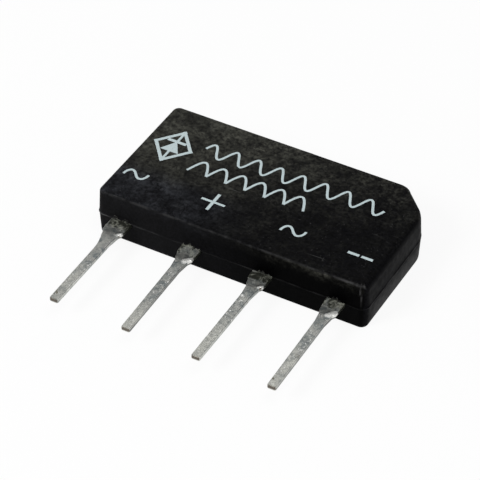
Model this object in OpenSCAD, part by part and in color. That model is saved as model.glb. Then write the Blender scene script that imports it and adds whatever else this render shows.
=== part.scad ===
// In-line bridge rectifier: four diode dice soldered between two levels of lead frame,
// moulded into one flat epoxy case with its four leads in a row.
// It lies on its back. The origin is the centre of the back face, X runs along the
// row of leads, the leads point along -Y and the marked face looks along +Z.

/* [Case] */
// Length of the case at the parting line
case_l = 19; // [18.6:0.2:24]
// Height of the case, from the lead side to the side opposite
case_h = 10; // [9.6:0.2:14]
// Thickness of the case
case_t = 3.4; // [3:0.1:5]
// Height of the parting line above the back face
parting_z = 1.65; // [1.2:0.05:1.9]
// Draft angle of both mould halves, in degrees
draft = 3; // [1:0.5:5]
// Radius of the upright corners
corner_r = 0.55; // [0.5:0.05:1]
// Radius of the edge round the marked face
face_edge_r = 0.2; // [0.1:0.05:0.3]
// Radius of the edge round the back face
back_edge_r = 0.3; // [0.1:0.05:0.4]
// Size of the cut corner beside the minus lead
cut_corner = 2; // [1.5:0.1:2.5]
// Radius that blends the cut corner into the sides
cut_r = 1.2; // [0.6:0.1:1.6]

/* [Mould marks] */
// How far the flash stands out along the parting line
flash_w = 0.04; // [0.02:0.01:0.08]
// Height of the flash at its foot
flash_t = 0.1; // [0.06:0.02:0.16]
// Width of the broken-off gate on the side opposite the leads
gate_w = 0.8; // [0.4:0.1:1.6]
// Place of the gate along the case
gate_x = 0.3; // [-3:0.1:3]
// Diameter of the ejector pin marks in the back face
ejector_d = 1.6; // [1:0.1:2.2]
// Depth of the ejector pin marks
ejector_depth = 0.08; // [0.04:0.02:0.2]
// Distance between the ejector pin marks
ejector_pitch = 12; // [8:0.5:14]

/* [Leads] */
// Distance from one lead to the next
lead_pitch = 5; // [4.9:0.02:5.1]
// Thickness of the lead frame
lead_t = 0.25; // [0.2:0.01:0.35]
// Width of a lead where its root leaves the case
root_w = 1.16; // [1.1:0.02:1.3]
// Width of the root at its shoulder
shoulder_w = 1.06; // [0.9:0.02:1.1]
// Distance from the case to the shoulder
shoulder_l = 1.15; // [0.8:0.05:1.6]
// Length over which the shoulder curves in to the neck
shoulder_curve = 0.26; // [0.1:0.02:0.5]
// Width of the neck
neck_w = 0.82; // [0.7:0.02:0.88]
// Length over which the neck tapers to the lead
neck_taper = 0.8; // [0.5:0.05:1.5]
// Width of a lead below the neck
lead_w = 0.62; // [0.5:0.01:0.68]
// Width of a lead at its cut end
tip_w = 0.55; // [0.4:0.01:0.6]
// Bevel of the corners of the cut ends
tip_bevel = 0.06; // [0.02:0.01:0.12]
// Length of the longest lead outside the case
lead_l = 8.4; // [5:0.1:20]
// How much shorter than that each lead was cut, from left to right
lead_trim = [0.2, 0.1, 0, 0]; // [0:0.05:1]
// How far the cut end of each lead leans to the right
lead_lean = [0.03, 0.14, 0.01, 0.11]; // [-0.4:0.01:0.4]

/* [Lead frame inside the case] */
// Gap between neighbouring pieces of the frame
frame_gap = 0.4; // [0.3:0.05:0.5]
// How far a pad reaches past the outer edge of its own lead's root
pad_reach = 0.3; // [0.2:0.05:0.5]
// Margin of pad around a die
pad_margin = 0.4; // [0.2:0.05:0.5]
// Radius of the corners of pads and bars
frame_r = 0.35; // [0.2:0.05:0.5]
// Width of the bars that join the dice on the upper level
bar_w = 1.7; // [1.5:0.05:1.9]
// Distance from the lead side of the case to the bend up to the upper level
bend_start = 0.6; // [0.4:0.05:0.7]
// Length of that bend along the lead
bend_l = 0.85; // [0.75:0.05:0.95]

/* [Dice and solder] */
// Side of a diode die
die_w = 2.1; // [1.9:0.05:2.3]
// Thickness of a die
die_t = 0.3; // [0.2:0.02:0.4]
// Side of the raised middle of a die, inside its etched moat
mesa_w = 1.8; // [1.6:0.05:1.85]
// Depth of the moat
moat_t = 0.1; // [0.05:0.01:0.15]
// Thickness of a solder joint
solder_t = 0.08; // [0.05:0.01:0.1]
// Diameter of a solder joint where it meets the die
solder_d = 1.4; // [1.1:0.05:1.5]
// How far the solder spreads on the frame past that diameter
solder_foot = 0.06; // [0.02:0.01:0.08]
// Distance from the lead side of the case to the lower row of dice
low_row = 3.2; // [3.1:0.05:3.4]
// Distance from the lower row of dice to the upper row
row_pitch = 3.6; // [3.4:0.05:3.8]

/* [Hidden] */
$fn = 48;
arc_steps = 6;
edge_steps = 4;

epoxy_black = [0.07, 0.07, 0.075];
tinned_grey = [0.62, 0.63, 0.61];
silicon_grey = [0.32, 0.34, 0.38];
solder_grey = [0.75, 0.76, 0.78];

// The leads in their row, from left to right: alternating, plus, alternating, minus
AC_LEFT = 0;
PLUS = 1;
AC_RIGHT = 2;
MINUS = 3;
function lead_x(i) = (i - 1.5) * lead_pitch;

lead_side = -case_h / 2;

// The lower level of the frame lies under the parting line, the upper level on the dice
low_z = parting_z - lead_t;
die_z = parting_z + solder_t;
solder_over_z = die_z + die_t;
high_z = solder_over_z + solder_t;

// The dice stand in two rows and in two columns, one on each side of the plus lead
low_row_y = lead_side + low_row;
high_row_y = low_row_y + row_pitch;
pad_edge = root_w / 2 + frame_gap;
column = pad_edge + pad_margin + die_w / 2;
left_x = lead_x(PLUS) - column;
right_x = lead_x(PLUS) + column;

// Points on an arc, in degrees
function arc(centre, r, from, to) =
    [for (i = [0:arc_steps]) let (a = from + (to - from) * i / arc_steps) centre + r * [cos(a), sin(a)]];

// Outline of the case seen from the marked face, moved inwards by inset. The centres of
// its corners stay where they are, so all outlines have the same points in the same order.
function outline(inset) =
    let (x = case_l / 2, y = case_h / 2, turn = cut_r * tan(45 / 2))
    concat(
        arc([corner_r - x, corner_r - y], corner_r - inset, 180, 270),
        arc([x - corner_r, corner_r - y], corner_r - inset, 270, 360),
        arc([x - cut_r, y - cut_corner - turn], cut_r - inset, 0, 45),
        arc([x - cut_corner - turn, y - cut_r], cut_r - inset, 45, 90),
        arc([corner_r - x, y - corner_r], corner_r - inset, 90, 180));

// Rounded edge where a flat face meets its drafted side: the distance from the face and
// the inset of each step, from the face outwards. depth is from the face to the parting line.
function edge(depth, r) =
    let (centre = (depth - r) * tan(draft) + r / cos(draft))
    [for (i = [0:edge_steps]) let (a = 270 - (90 - draft) * i / edge_steps)
        [r + r * sin(a), centre + r * cos(a)]];

// Height and inset of every outline of the case, from the back face to the marked face
back_edge = edge(parting_z, back_edge_r);
face_edge = edge(case_t - parting_z, face_edge_r);
case_levels = concat(
    back_edge,
    [[parting_z - flash_t / 2, flash_t / 2 * tan(draft)],
     [parting_z - flash_t / 6, -flash_w],
     [parting_z + flash_t / 6, -flash_w],
     [parting_z + flash_t / 2, flash_t / 2 * tan(draft)]],
    [for (i = [edge_steps:-1:0]) [case_t - face_edge[i][0], face_edge[i][1]]]);

// Solid through a stack of outlines, each given by its height and its inset
module loft(levels) {
    rings = [for (level = levels) [for (p = outline(level[1])) [p[0], p[1], level[0]]]];
    n = len(rings[0]);
    last = len(rings) - 1;
    polyhedron(
        points = [for (ring = rings) each ring],
        faces = concat(
            [[for (i = [0:n - 1]) i]],
            [for (j = [0:last - 1], i = [0:n - 1]) let (k = (i + 1) % n)
                [j * n + i, (j + 1) * n + i, (j + 1) * n + k, j * n + k]],
            [[for (i = [n - 1:-1:0]) last * n + i]]));
}

// What is left of the gate: a stub from the parting line up to the marked face's edge
module gate_stub() {
    depth = case_t * tan(draft) + face_edge_r;
    translate([gate_x - gate_w / 2, case_h / 2 - depth, parting_z])
        cube([gate_w, depth, case_t - parting_z - face_edge_r / 2]);
}

module ejector_mark(side) {
    translate([side * ejector_pitch / 2, 0, -ejector_depth])
        cylinder(d = ejector_d, h = 2 * ejector_depth);
}

// Half the width of a lead at the given distances from the case, and those distances
function lead_half(length) = concat(
    [[-bend_start, root_w / 2],
     [0, root_w / 2]],
    [for (i = [0:arc_steps])
        [shoulder_l + shoulder_curve * i / arc_steps,
         (shoulder_w + neck_w + (shoulder_w - neck_w) * cos(180 * i / arc_steps)) / 4]],
    [[shoulder_l + shoulder_curve + neck_taper, lead_w / 2],
     [length - tip_bevel, tip_w / 2],
     [length, tip_w / 2 - tip_bevel]]);

// Outline of lead number i, from inside the case to its cut end
module lead_outline(i) {
    length = lead_l - lead_trim[i];
    half = lead_half(length);
    function lean(d) = lead_lean[i] * max(0, d - shoulder_l) / (length - shoulder_l);
    function edge_points(side) =
        [for (p = half) [lead_x(i) + lean(p[0]) + side * p[1], lead_side - p[0]]];
    right = edge_points(1);
    left = edge_points(-1);
    polygon(concat(left, [for (j = [len(right) - 1:-1:0]) right[j]]));
}

// Flat piece of the frame between two corners, with rounded corners
module plate(low, high) {
    r = frame_r;
    polygon(concat(
        arc([low[0] + r, low[1] + r], r, 180, 270),
        arc([high[0] - r, low[1] + r], r, 270, 360),
        arc([high[0] - r, high[1] - r], r, 0, 90),
        arc([low[0] + r, high[1] - r], r, 90, 180)));
}

// Lead whose root widens into a pad that carries one die of each row
module pad_lead(i, low_x, high_x) {
    color(tinned_grey) translate([0, 0, low_z]) linear_extrude(lead_t) {
        lead_outline(i);
        translate([lead_x(i) - root_w / 2, lead_side]) square([root_w, low_row]);
        plate([low_x, low_row_y - die_w / 2 - pad_margin], [high_x, high_row_y + die_w / 2 + pad_margin]);
    }
}

// Lead whose root bends up to the upper level and runs on there to the distance reach
module raised_lead(i, reach) {
    start = lead_side + bend_start;
    rise = high_z - low_z;
    mitre = lead_t * tan(atan(rise / bend_l) / 2);
    profile = [
        [start, low_z], [start + mitre, low_z], [start + mitre + bend_l, high_z], [reach, high_z],
        [reach, high_z + lead_t], [start + bend_l, high_z + lead_t], [start, low_z + lead_t]];
    translate([0, 0, low_z]) linear_extrude(lead_t) lead_outline(i);
    translate([lead_x(i) - root_w / 2, 0, 0]) rotate([90, 0, 90])
        linear_extrude(root_w) polygon(profile);
}

// Bar on the upper level over a row of dice
module bar(from_x, to_x, y) {
    translate([0, 0, high_z]) linear_extrude(lead_t)
        plate([from_x, y - bar_w / 2], [to_x, y + bar_w / 2]);
}

module ac_lead_left() {
    pad_lead(AC_LEFT, lead_x(AC_LEFT) - root_w / 2 - pad_reach, lead_x(PLUS) - pad_edge);
}

module ac_lead_right() {
    pad_lead(AC_RIGHT, lead_x(PLUS) + pad_edge, lead_x(AC_RIGHT) + root_w / 2 + pad_reach);
}

module plus_lead() {
    color(tinned_grey) {
        raised_lead(PLUS, low_row_y);
        bar(left_x - mesa_w / 2, right_x + mesa_w / 2, low_row_y);
    }
}

module minus_lead() {
    color(tinned_grey) {
        raised_lead(MINUS, high_row_y);
        bar(left_x - mesa_w / 2, lead_x(MINUS) + root_w / 2, high_row_y);
    }
}

// Die with its mesa on the upper side, or on the lower side if flipped
module die(x, y, flipped) {
    body_t = die_t - moat_t;
    color(silicon_grey) translate([x, y, die_z]) {
        translate([-die_w / 2, -die_w / 2, flipped ? moat_t : 0]) cube([die_w, die_w, body_t]);
        translate([-mesa_w / 2, -mesa_w / 2, 0]) cube([mesa_w, mesa_w, die_t]);
    }
}

// Solder joint that spreads towards the frame: downwards, or upwards if over the die
module solder_joint(x, y, over) {
    on_die = solder_d / 2;
    on_frame = on_die + solder_foot;
    color(solder_grey) translate([x, y, over ? solder_over_z : parting_z])
        cylinder(h = solder_t, r1 = over ? on_die : on_frame, r2 = over ? on_frame : on_die);
}

module die_ac_left_to_plus() { die(left_x, low_row_y, true); }
module die_ac_right_to_plus() { die(right_x, low_row_y, true); }
module die_minus_to_ac_left() { die(left_x, high_row_y, false); }
module die_minus_to_ac_right() { die(right_x, high_row_y, false); }

module solder_under_die_ac_left_to_plus() { solder_joint(left_x, low_row_y, false); }
module solder_over_die_ac_left_to_plus() { solder_joint(left_x, low_row_y, true); }
module solder_under_die_ac_right_to_plus() { solder_joint(right_x, low_row_y, false); }
module solder_over_die_ac_right_to_plus() { solder_joint(right_x, low_row_y, true); }
module solder_under_die_minus_to_ac_left() { solder_joint(left_x, high_row_y, false); }
module solder_over_die_minus_to_ac_left() { solder_joint(left_x, high_row_y, true); }
module solder_under_die_minus_to_ac_right() { solder_joint(right_x, high_row_y, false); }
module solder_over_die_minus_to_ac_right() { solder_joint(right_x, high_row_y, true); }

// Everything that the epoxy is moulded round
module insert() {
    ac_lead_left();
    plus_lead();
    ac_lead_right();
    minus_lead();
    for (x = [left_x, right_x], y = [low_row_y, high_row_y]) {
        die(x, y, y == low_row_y);
        solder_joint(x, y, false);
        solder_joint(x, y, true);
    }
}

module case() {
    color(epoxy_black) difference() {
        union() {
            loft(case_levels);
            gate_stub();
        }
        for (side = [-1, 1]) ejector_mark(side);
        insert();
    }
}

case();
ac_lead_left();
plus_lead();
ac_lead_right();
minus_lead();
die_ac_left_to_plus();
die_ac_right_to_plus();
die_minus_to_ac_left();
die_minus_to_ac_right();
solder_under_die_ac_left_to_plus();
solder_over_die_ac_left_to_plus();
solder_under_die_ac_right_to_plus();
solder_over_die_ac_right_to_plus();
solder_under_die_minus_to_ac_left();
solder_over_die_minus_to_ac_left();
solder_under_die_minus_to_ac_right();
solder_over_die_minus_to_ac_right();
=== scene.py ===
"""Looks of a flat in-line bridge rectifier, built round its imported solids.

The epoxy case gets a fine moulded skin, each lead a dipped tin coat and a lip of crept resin, and
the marked face its ink. Everything is in metres, in the frame of the solids: the part lies on its
back, the leads stand in a row along X and point along -Y, and the marked face looks along +Z.
"""

import math
from typing import NamedTuple

import bmesh
import bpy
from bpy.props import FloatProperty, FloatVectorProperty, PointerProperty
from bpy.types import Operator, Panel, PropertyGroup
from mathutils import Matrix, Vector, noise
from mathutils.geometry import delaunay_2d_cdt, intersect_point_line
from mathutils.kdtree import KDTree


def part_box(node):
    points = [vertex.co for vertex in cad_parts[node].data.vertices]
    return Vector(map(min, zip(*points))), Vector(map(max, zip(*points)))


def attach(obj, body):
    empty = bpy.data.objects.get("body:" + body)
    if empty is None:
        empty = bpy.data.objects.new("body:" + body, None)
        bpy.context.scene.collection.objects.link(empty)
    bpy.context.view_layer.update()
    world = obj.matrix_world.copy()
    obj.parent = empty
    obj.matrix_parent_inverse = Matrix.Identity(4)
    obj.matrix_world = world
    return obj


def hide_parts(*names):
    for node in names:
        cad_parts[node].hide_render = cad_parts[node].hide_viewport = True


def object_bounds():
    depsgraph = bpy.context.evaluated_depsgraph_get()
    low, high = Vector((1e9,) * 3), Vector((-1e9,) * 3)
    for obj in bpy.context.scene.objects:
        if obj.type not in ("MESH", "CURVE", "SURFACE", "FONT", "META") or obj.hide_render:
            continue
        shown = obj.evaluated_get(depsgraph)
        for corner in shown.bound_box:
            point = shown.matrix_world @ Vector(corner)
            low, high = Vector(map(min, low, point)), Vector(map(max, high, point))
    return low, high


bl_info = {
    "name": "Bridge Rectifier Looks",
    "version": (1, 0, 0),
    "blender": (4, 5, 0),
    "location": "View3D > Sidebar > Rectifier",
    "description": "Case skin, tin coats, ink and finishes of an in-line bridge rectifier",
    "category": "Object",
}

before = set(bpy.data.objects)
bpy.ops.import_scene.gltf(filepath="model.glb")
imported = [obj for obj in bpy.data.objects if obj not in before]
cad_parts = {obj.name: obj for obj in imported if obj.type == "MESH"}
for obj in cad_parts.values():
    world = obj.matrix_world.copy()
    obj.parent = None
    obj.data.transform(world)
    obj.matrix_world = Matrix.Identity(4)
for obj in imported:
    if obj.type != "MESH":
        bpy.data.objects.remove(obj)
CAD_LOW, CAD_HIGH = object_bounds()

MM = 0.001
HAIR = 0.001 * MM  # surfaces and points this close together count as one

# Sizes that the solids give. The upper side of the left lead lies at the case's parting line.
CASE_LOW, CASE_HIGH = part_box("case")
CASE_TOP = CASE_HIGH.z
LEAD_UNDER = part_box("ac_lead_left")[0].z
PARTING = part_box("ac_lead_left")[1].z


class Lead(NamedTuple):
    """What sets one lead apart from the others. Its lengths are in millimetres."""

    drop: float  # radius of the tin that gathered at its shoulder
    clean: float  # how much less stain its root has than usual
    # The darkness of the sides is painted shade.
    dark: float  # how dark its sheared sides are
    spread: float  # how far tin and resin spread to the left of its root
    spread_end: float  # how far from the case they still do


LEADS = {
    "ac_lead_left": Lead(drop=0.19, clean=0.0, dark=0.3, spread=0.25, spread_end=3.0),
    "plus_lead": Lead(drop=0.31, clean=0.04, dark=1.35, spread=0.14, spread_end=1.2),
    "ac_lead_right": Lead(drop=0.16, clean=-0.05, dark=0.2, spread=0.17, spread_end=1.2),
    "minus_lead": Lead(drop=0.34, clean=0.035, dark=0.95, spread=0.05, spread_end=1.2),
}
DICE = sorted(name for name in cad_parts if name.startswith("die_"))
JOINTS = sorted(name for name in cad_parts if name.startswith("solder_"))


# Settings


def length(name, text, default):
    """Property for a size, given in millimetres and kept in metres."""
    return FloatProperty(
        name=name, description=text, default=default * MM, subtype="DISTANCE", unit="LENGTH", precision=5
    )


def angle(name, text, default):
    """Property for an angle, given in degrees and kept in radians."""
    return FloatProperty(
        name=name, description=text, default=math.radians(default), subtype="ANGLE", unit="ROTATION"
    )


def colour(name, text, default):
    """Property for a colour, in linear red, green and blue."""
    return FloatVectorProperty(
        name=name, description=text, default=default, subtype="COLOR", size=3, min=0, max=1
    )


def fraction(name, text, default):
    """Property for a value from 0 to 1."""
    return FloatProperty(name=name, description=text, default=default, subtype="FACTOR", min=0, max=1)


def strength(name, text, default):
    """Property for the radiance of a lamp's face."""
    return FloatProperty(name=name, description=text, default=default, min=0)


class CaseLooks(PropertyGroup):
    """Shape and finish of the moulded case"""

    flash: length("Flash", "How far the flash stands out along the parting line", 0.04)
    flash_foot: length("Flash foot", "Height of the flash at its foot", 0.3)
    draft: angle("Draft", "Slope of the case's sides in both mould halves", 3)
    corner: length("Corner radius", "Radius of the upright corners", 0.55)
    face_edge: length("Face edge radius", "Radius of the edge round the marked face", 0.2)
    end_edge: length("End edge radius", "Radius of that edge along the end beside the minus lead", 0.5)
    back_edge: length("Back edge radius", "Radius of the edge round the back face", 0.16)
    cut: length("Cut corner", "Size of the cut corner beside the minus lead", 2.1)
    cut_end_blend: length("Cut blend, end", "Radius that blends the cut corner into the end", 1.9)
    cut_back_blend: length("Cut blend, back", "Radius that blends the cut corner into the back side", 1.3)
    gate_width: length("Gate width", "Width of the broken-off gate on the back side", 0.8)
    gate_place: length("Gate place", "Place of the gate along the case", 0.3)
    ejector: length("Ejector mark", "Diameter of the ejector pin marks in the back face", 1.6)
    ejector_depth: length("Ejector depth", "Depth of the ejector pin marks", 0.08)
    ejector_pitch: length("Ejector pitch", "Distance between the ejector pin marks", 12.0)
    grain: length("Mesh grain", "Spacing of the skin's points", 0.1)
    resin: colour("Resin", "Colour of the clean resin", (0.0017, 0.0017, 0.0021))
    filler: colour("Filler", "Colour of the pale filler that shows in the mottling", (0.058, 0.058, 0.049))
    film: colour("Film", "Colour of the smooth film at the front left of the face", (0.055, 0.058, 0.066))
    # This colour also paints the reflections, highlights and sheen on the case.
    wear_and_sheen: colour("Wear", "Colour of the rubbed edges", (0.075, 0.075, 0.075))
    roughness: fraction("Roughness", "Roughness of the marked face", 0.5)


class LeadLooks(PropertyGroup):
    """Shape and finish of the tin on the leads"""

    coat: length("Coat", "Thickness of the dipped tin over the strip", 0.012)
    lip: length("Resin lip", "How far the resin has crept up the case and out over the lead", 0.14)
    bare_end: length("Bare end", "How much of the strip shows at the cut end", 0.03)
    tin: colour("Tin", "Colour of the dull tin", (0.40, 0.405, 0.39))
    dark_tin: colour("Dark tin", "Colour of the darker, cooler patches", (0.25, 0.275, 0.277))
    pale_tin: colour("Pale tin", "Colour of the lighter clouds", (0.66, 0.665, 0.61))
    # On the gathered drops this colour is partly a painted highlight.
    bright: colour("Bright tin", "Colour of the specks and of the gathered drops", (0.85, 0.85, 0.82))
    # The side colour is painted shade on the lower sides of the leads.
    side: colour("Side", "Colour of the sheared sides under the tin", (0.10, 0.10, 0.095))
    stain: colour("Stain", "Colour of the resin that has bled over the roots", (0.013, 0.014, 0.010))
    fleck: colour("Fleck", "Colour of the flecks in the stain", (0.25, 0.255, 0.215))
    tarnish: colour("Tarnish", "Colour of the few tarnished spots", (0.15, 0.12, 0.065))
    cut_end: colour("Cut end", "Colour of the bare strip at the cut end", (0.145, 0.127, 0.108))
    stain_reach: length("Stain reach", "How far the resin stain reaches from the case", 0.85)
    roughness: fraction("Roughness", "Roughness of the dull tin", 0.42)


class InkLooks(PropertyGroup):
    """Size, place and finish of the ink on the marked face"""

    ink: colour("Ink", "Colour of the marking ink", (0.435, 0.515, 0.53))
    thickness: length("Thickness", "Thickness of the ink", 0.012)
    stroke: length("Stroke", "Width of the strokes", 0.19)
    sign_y: length("Sign height", "Height of the row of polarity signs on the face", -2.44)
    left_ac_x: length("Left AC sign", "Place of that sign along the face", -8.07)
    plus_x: length("Plus sign", "Place of that sign along the face", -2.5)
    right_ac_x: length("Right AC sign", "Place of that sign along the face", 3.13)
    minus_x: length("Minus sign", "Place of that sign along the face", 7.775)
    wave_height: length("Wave height", "Height of the two rows of waves", 1.38)
    wave_left: length("Wave start", "Left end of the two rows of waves", -5.5)
    sine_length: length("Sine length", "Length of the row that shows alternating current", 12.67)
    sine_y: length("Sine row", "Height of that row on the face", 1.95)
    hump_length: length("Hump length", "Length of the row that shows rectified current", 8.27)
    hump_y: length("Hump row", "Height of that row on the face", 0.105)
    badge_x: length("Circuit sign, across", "Place of the circuit sign along the face", -7.45)
    badge_y: length("Circuit sign, up", "Height of the circuit sign on the face", 1.15)
    badge_height: length("Circuit sign height", "Height of the circuit sign", 3.3)


class StageLooks(PropertyGroup):
    """Camera, lamps and floor"""

    azimuth: angle("Azimuth", "Turn of the camera round the part", 29.185)
    elevation: angle("Elevation", "Height of the camera as an angle", 40.977)
    distance: length("Distance", "From the camera to the point it aims at", 154.57)
    aim: FloatVectorProperty(
        name="Aim",
        description="Point that the camera aims at",
        default=(-0.153 * MM, -3.211 * MM, 1.885 * MM),
        subtype="TRANSLATION",
        unit="LENGTH",
        precision=5,
    )
    lens: FloatProperty(
        name="Lens", description="Focal length in millimetres", default=187.58, min=1, unit="CAMERA"
    )
    key_lamp: strength("Key lamp", "Radiance of the lamp at the front left", 17.0)
    top_lamp: strength("Top lamp", "Radiance of the lamp overhead", 3.5)
    back_lamp: strength("Back lamp", "Radiance of the lamp behind the part", 1.0)
    floor: colour("Floor", "Colour of the floor", (0.8, 0.8, 0.8))
    whiteness: fraction("Whiteness", "Share of plain white in the floor as the camera sees it", 0.9)
    ceiling: fraction("Ceiling", "Brightness of the dome overhead, where 1 is white", 0.35)


# Shapes


def piece_from(builder, name, material, smooth=True):
    """Object made from a mesh under construction, riding on the part."""
    bmesh.ops.recalc_face_normals(builder, faces=builder.faces)
    mesh = bpy.data.meshes.new(name)
    builder.normal_update()
    builder.to_mesh(mesh)
    builder.free()
    if smooth:
        mesh.shade_smooth()
    else:
        mesh.shade_flat()
    mesh.materials.append(material)
    piece = bpy.data.objects.new(name, mesh)
    bpy.context.scene.collection.objects.link(piece)
    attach(piece, "root")
    return piece


def join_rings(builder, rings):
    """Covers the bands between rings of as many points each."""
    around = len(rings[0])
    for first, second in zip(rings, rings[1:]):
        for i in range(around):
            k = (i + 1) % around
            builder.faces.new((first[i], first[k], second[k], second[i]))


def close_ends(builder, rings):
    """Covers the first ring and the last."""
    builder.faces.new(list(reversed(rings[0])))
    builder.faces.new(rings[-1])


def blend_in(value, low, high):
    """0 below low, 1 above high, and a smooth step between them."""
    t = min(1, max(0, (value - low) / (high - low)))
    return t * t * (3 - 2 * t)


def uneven(point, size, seed=0):
    """Noise from -1 to 1 at a point, with bumps of about the given size. Each seed gives other bumps."""
    return noise.noise(point / size + Vector((seed, seed * 1.7, seed * 0.3)))


# The case


def outline_points(corners, step):
    """Points round a convex outline, each with its outward normal.

    A corner is its centre, its radius and the angles where its arc starts and ends.
    """
    fewest = 8
    points = []
    for k, (centre, radius, start, end) in enumerate(corners):
        count = max(fewest, round(radius * (end - start) / step))
        for i in range(count + 1):
            turn = start + (end - start) * i / count
            normal = Vector((math.cos(turn), math.sin(turn)))
            points.append((centre + radius * normal, normal))
        next_centre, next_radius, next_start, _ = corners[(k + 1) % len(corners)]
        here = points[-1][0]
        there = next_centre + next_radius * Vector((math.cos(next_start), math.sin(next_start)))
        count = round((there - here).length / step)
        points += [(here.lerp(there, i / count), normal) for i in range(1, count)]
    return points


def case_corners(looks, half_x, half_y):
    """Corners of the case's outline at the parting line. The third and the fourth are those of the cut."""
    r, end, back, cut = looks.corner, looks.cut_end_blend, looks.cut_back_blend, looks.cut
    quarter, eighth = math.pi / 2, math.pi / 4
    tangent = math.tan(math.radians(45 / 2))
    return [
        (Vector((r - half_x, r - half_y)), r, 2 * quarter, 3 * quarter),
        (Vector((half_x - r, r - half_y)), r, 3 * quarter, 4 * quarter),
        (Vector((half_x - end, half_y - cut - end * tangent)), end, 0, eighth),
        (Vector((half_x - cut - back * tangent, half_y - back)), back, eighth, quarter),
        (Vector((r - half_x, half_y - r)), r, quarter, 2 * quarter),
    ]


def edge_rows(depth, r, draft):
    """Rows of a rounded edge, from a flat face to the drafted side of a mould half of that depth.

    A row is its distance from the face, its inset from the parting line and its slope.
    """
    centre = (depth - r) * math.tan(draft) + r / math.cos(draft)
    steps = 7
    rows = []
    for i in range(steps + 1):
        slope = math.pi / 2 - (math.pi / 2 - draft) * i / steps
        rows.append((r - r * math.sin(slope), centre - r * math.cos(slope), slope))
    return rows


def side_rows(looks, face_edge):
    """Rows of the skin from the back face to the marked face, as many whatever the radius of its edge.

    A row is its height, its inset, its slope and its share of the flash.
    """
    back = edge_rows(PARTING, looks.back_edge, looks.draft)
    face = edge_rows(CASE_TOP - PARTING, face_edge, looks.draft)
    foot = looks.flash_foot / 2
    foot_inset = foot * math.tan(looks.draft)
    side_steps = round((PARTING - looks.back_edge) / looks.grain)
    flash_steps = 6

    def side(start, end, slope):
        """Rows along a drafted side, between two places given as height and inset."""
        (z0, inset0), (z1, inset1) = start, end
        ways = [i / side_steps for i in range(1, side_steps)]
        return [(z0 + (z1 - z0) * t, inset0 + (inset1 - inset0) * t, slope, 0) for t in ways]

    rows = [(z, inset, -slope, 0) for z, inset, slope in back]
    rows += side(back[-1][:2], (PARTING - foot, foot_inset), -looks.draft)
    for k in range(-flash_steps, flash_steps + 1):
        up = k / flash_steps
        ridge = math.cos(math.pi / 2 * up) ** 4
        rows.append((PARTING + foot * up, foot_inset * abs(up), looks.draft * up, ridge))
    rows += side((PARTING + foot, foot_inset), (CASE_TOP - face[-1][0], face[-1][1]), looks.draft)
    rows += [(CASE_TOP - z, inset, slope, 0) for z, inset, slope in reversed(face)]
    return rows


def fill_face(skin, ring, step, circles=()):
    """Fills a flat ring of points with a fine net of triangles, with crisp circles in it.

    A circle is its centre and radius, and how high the net stands inside it.
    """
    height = ring[0].co.z
    flat = [v.co.xy for v in ring]
    count = len(flat)
    edges = [(i, (i + 1) % count) for i in range(count)]
    near = KDTree(count)
    for i, point in enumerate(flat):
        near.insert((point.x, point.y, 0), i)
    near.balance()
    low = Vector((min(p.x for p in flat), min(p.y for p in flat)))
    high = Vector((max(p.x for p in flat), max(p.y for p in flat)))
    too_near = 0.7 * step
    inner = []
    for row in range(1, int((high.y - low.y) / step)):
        for column in range(1, int((high.x - low.x) / step)):
            point = low + step * Vector((column + 0.5 * (row % 2), row))
            clear = all(abs((point - centre).length - radius) > step for centre, radius, _ in circles)
            if clear and near.find((point.x, point.y, 0))[2] > too_near:
                inner.append(point)
    wall = step / 4
    for centre, radius, _ in circles:
        around = round(2 * math.pi * radius / step)
        for r in (radius - wall, radius + wall):
            first = count + len(inner)
            turns = [2 * math.pi * i / around for i in range(around)]
            inner += [centre + r * Vector((math.cos(a), math.sin(a))) for a in turns]
            edges += [(first + i, first + (i + 1) % around) for i in range(around)]
    verts, _, faces, origins, _, _ = delaunay_2d_cdt(flat + inner, edges, [], 1, step / 1000)
    made = []
    for point, origin in zip(verts, origins):
        if origin and min(origin) < count:
            made.append(ring[min(origin)])
            continue
        rise = sum(up for centre, radius, up in circles if (point - centre).length < radius)
        made.append(skin.verts.new((point.x, point.y, height + rise)))
    for face in faces:
        skin.faces.new([made[i] for i in face])
    bmesh.ops.delete(skin, geom=[v for v in made if not v.link_faces], context="VERTS")


def rubbed_and_highlight_share(normal, z, slope):
    """Share of rubbing and painted highlight at a place, from 0 to 1.

    The edge of the marked face is rubbed and carries a painted highlight, mostly in front; the line down
    the right front corner is only a painted highlight.
    """
    if z < PARTING:
        return 0.0
    # Along the edge of the marked face this is rubbing and a painted highlight, kept mostly to the front
    # and off the right end.
    edge = max(0.0, math.sin(2 * slope)) ** 3
    if normal.y < 0 < normal.x:
        edge *= 1 - blend_in(normal.x, 0.7, 0.9)
    elif normal.x > 0.6:
        edge = 0.0
    else:
        edge *= 0.15 + 0.85 * blend_in(-normal.y, 0.6, 0.95)
    # Painted highlight: a thin curved line down the right front corner.
    middle = math.radians(70 + 12 * blend_in(z, 2.3 * MM, 3.2 * MM))
    half_width = math.radians(8)
    off_middle = abs(math.atan2(normal.y, normal.x) + middle)
    corner = (1 - blend_in(off_middle, 0, half_width)) * (0.15 + 0.75 * blend_in(z, 1.9 * MM, 2.7 * MM))
    return max(edge, corner * blend_in(z, PARTING, 1.9 * MM))


def gate_stub(looks, place, inset):
    """How far the broken-off gate stands out from the upper half of the back side."""
    off_middle = abs(place.x - looks.gate_place) / looks.gate_width
    broken = 0.85 + 0.15 * uneven(place, 0.2 * MM)
    under_edge = 1 - blend_in(place.z, CASE_TOP - looks.face_edge, CASE_TOP - 0.3 * looks.face_edge)
    return inset * broken * under_edge * (1 - blend_in(off_middle, 0.42, 0.6))


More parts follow.
